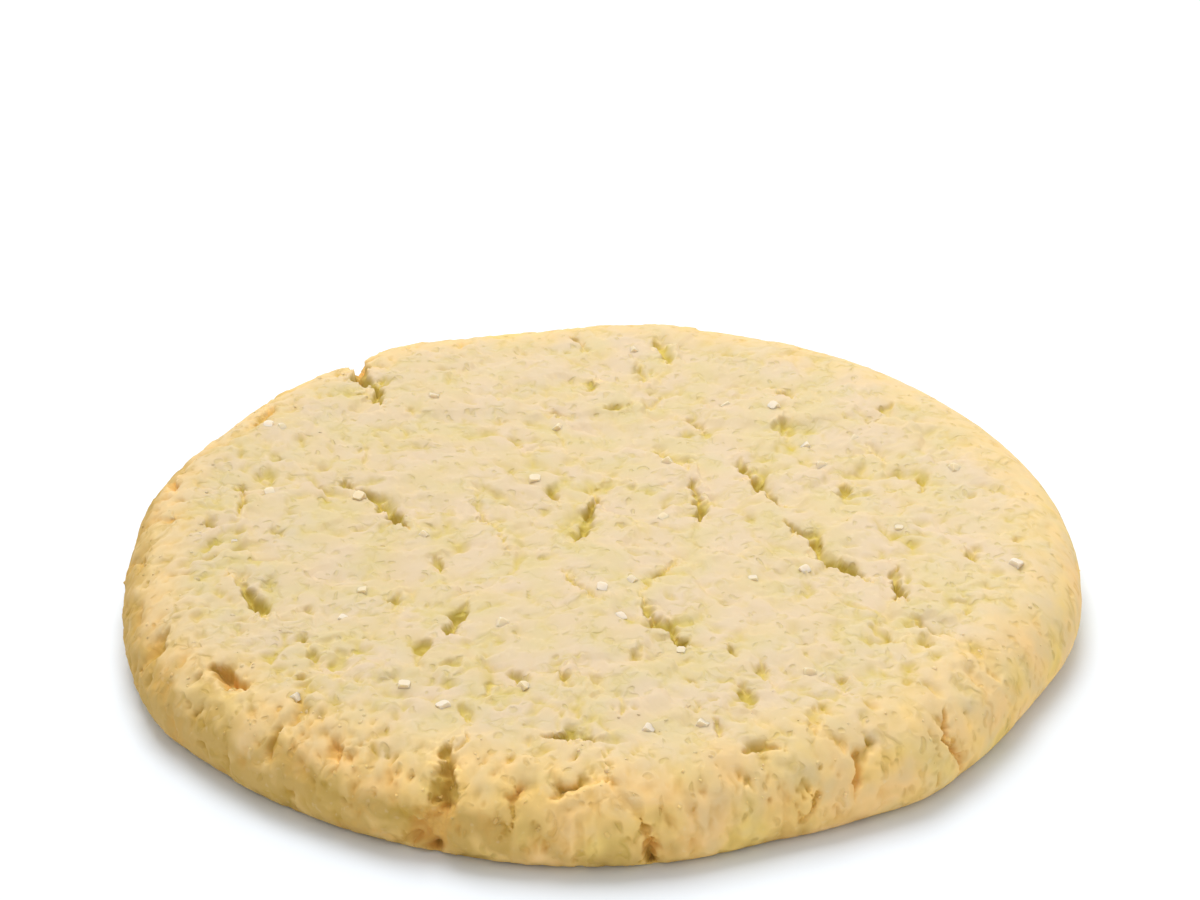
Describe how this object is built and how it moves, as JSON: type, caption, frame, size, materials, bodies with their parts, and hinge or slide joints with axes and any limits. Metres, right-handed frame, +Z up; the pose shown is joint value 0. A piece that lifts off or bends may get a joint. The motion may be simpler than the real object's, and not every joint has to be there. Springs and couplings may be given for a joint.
{
  "type": "sugar cookie",
  "caption": "Round pale sugar cookie, 90 mm across, with a finely cracked top, a rounded rim and coarse sugar crystals.",
  "frame": {"origin": "middle of the cookie's box, on the plane of its flat underside", "axes": "+Z up, out of the cracked top; +X to the right and -Y towards the viewer, as in the picture"},
  "size_m": [0.0898, 0.0898, 0.0098],
  "materials": {
    "baked_dough": "matte"
  },
  "bodies": {
    "root": {"cookie": "baked_dough"}
  },
  "joints": []
}
